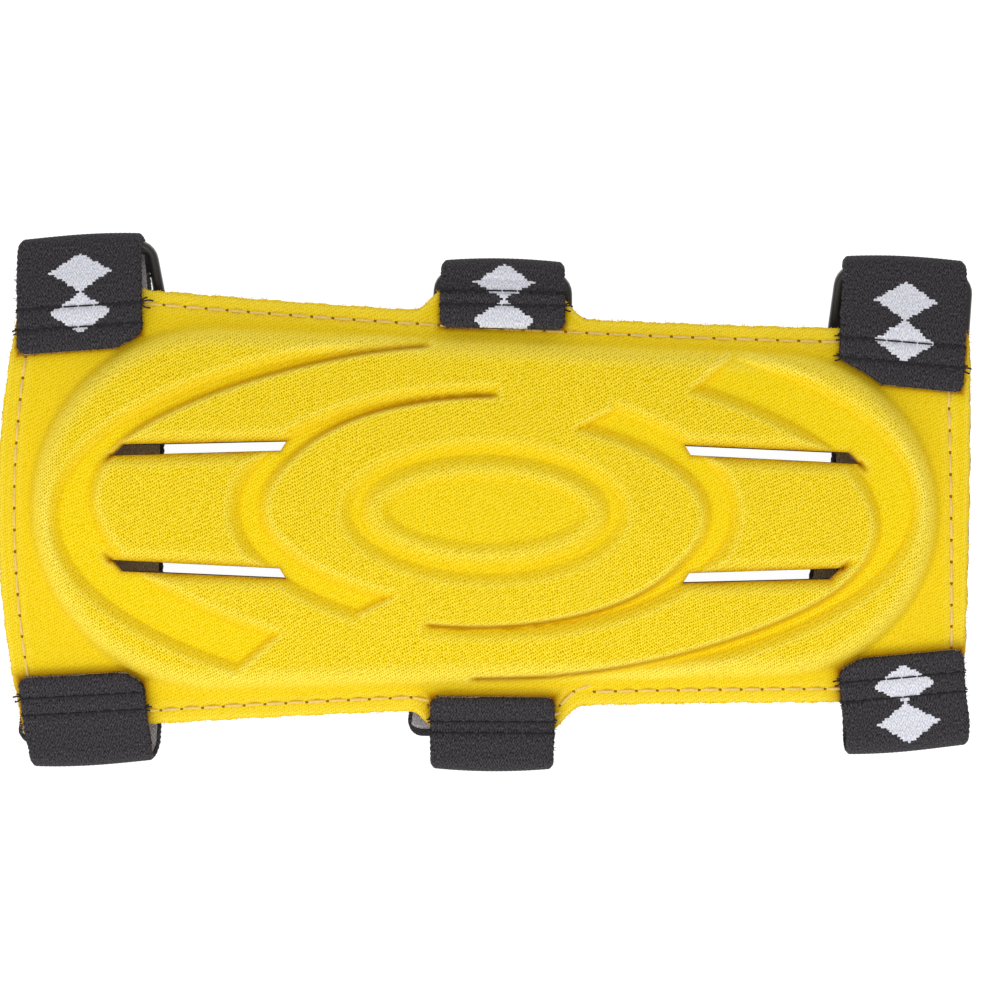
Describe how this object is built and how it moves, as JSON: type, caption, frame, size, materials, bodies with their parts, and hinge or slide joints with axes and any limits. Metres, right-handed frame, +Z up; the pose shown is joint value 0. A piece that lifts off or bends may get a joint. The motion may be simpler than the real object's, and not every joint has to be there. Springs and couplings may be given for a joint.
{
  "type": "arm guard",
  "caption": "Archery arm guard: a bowed, moulded foam pad with a knit face, grooves and vent slots, held on the forearm by elastic straps and slide buckles.",
  "frame": {"origin": "middle of the footprint, on the surface that the guard lies on", "axes": "+X along the forearm towards the wrist end, +Y across it from the straps' hems to the loops, +Z up, out of the pad's knit face"},
  "size_m": [0.1942, 0.1084, 0.0218],
  "materials": {
    "knit": "matt yellow knit pressed over foam",
    "lining": "matt black brushed cloth",
    "elastic": "black knitted elastic with a woven white pattern and a grey reverse",
    "buckle": "black moulded plastic, half gloss"
  },
  "bodies": {
    "root": {"moulded_pad": "knit", "back_lining": "lining", "loop_elbow": "elastic", "strap_elbow": "elastic", "buckle_elbow": "buckle", "loop_middle": "elastic", "strap_middle": "elastic", "buckle_middle": "buckle", "loop_wrist": "elastic", "strap_wrist": "elastic", "buckle_wrist": "buckle"}
  },
  "joints": []
}
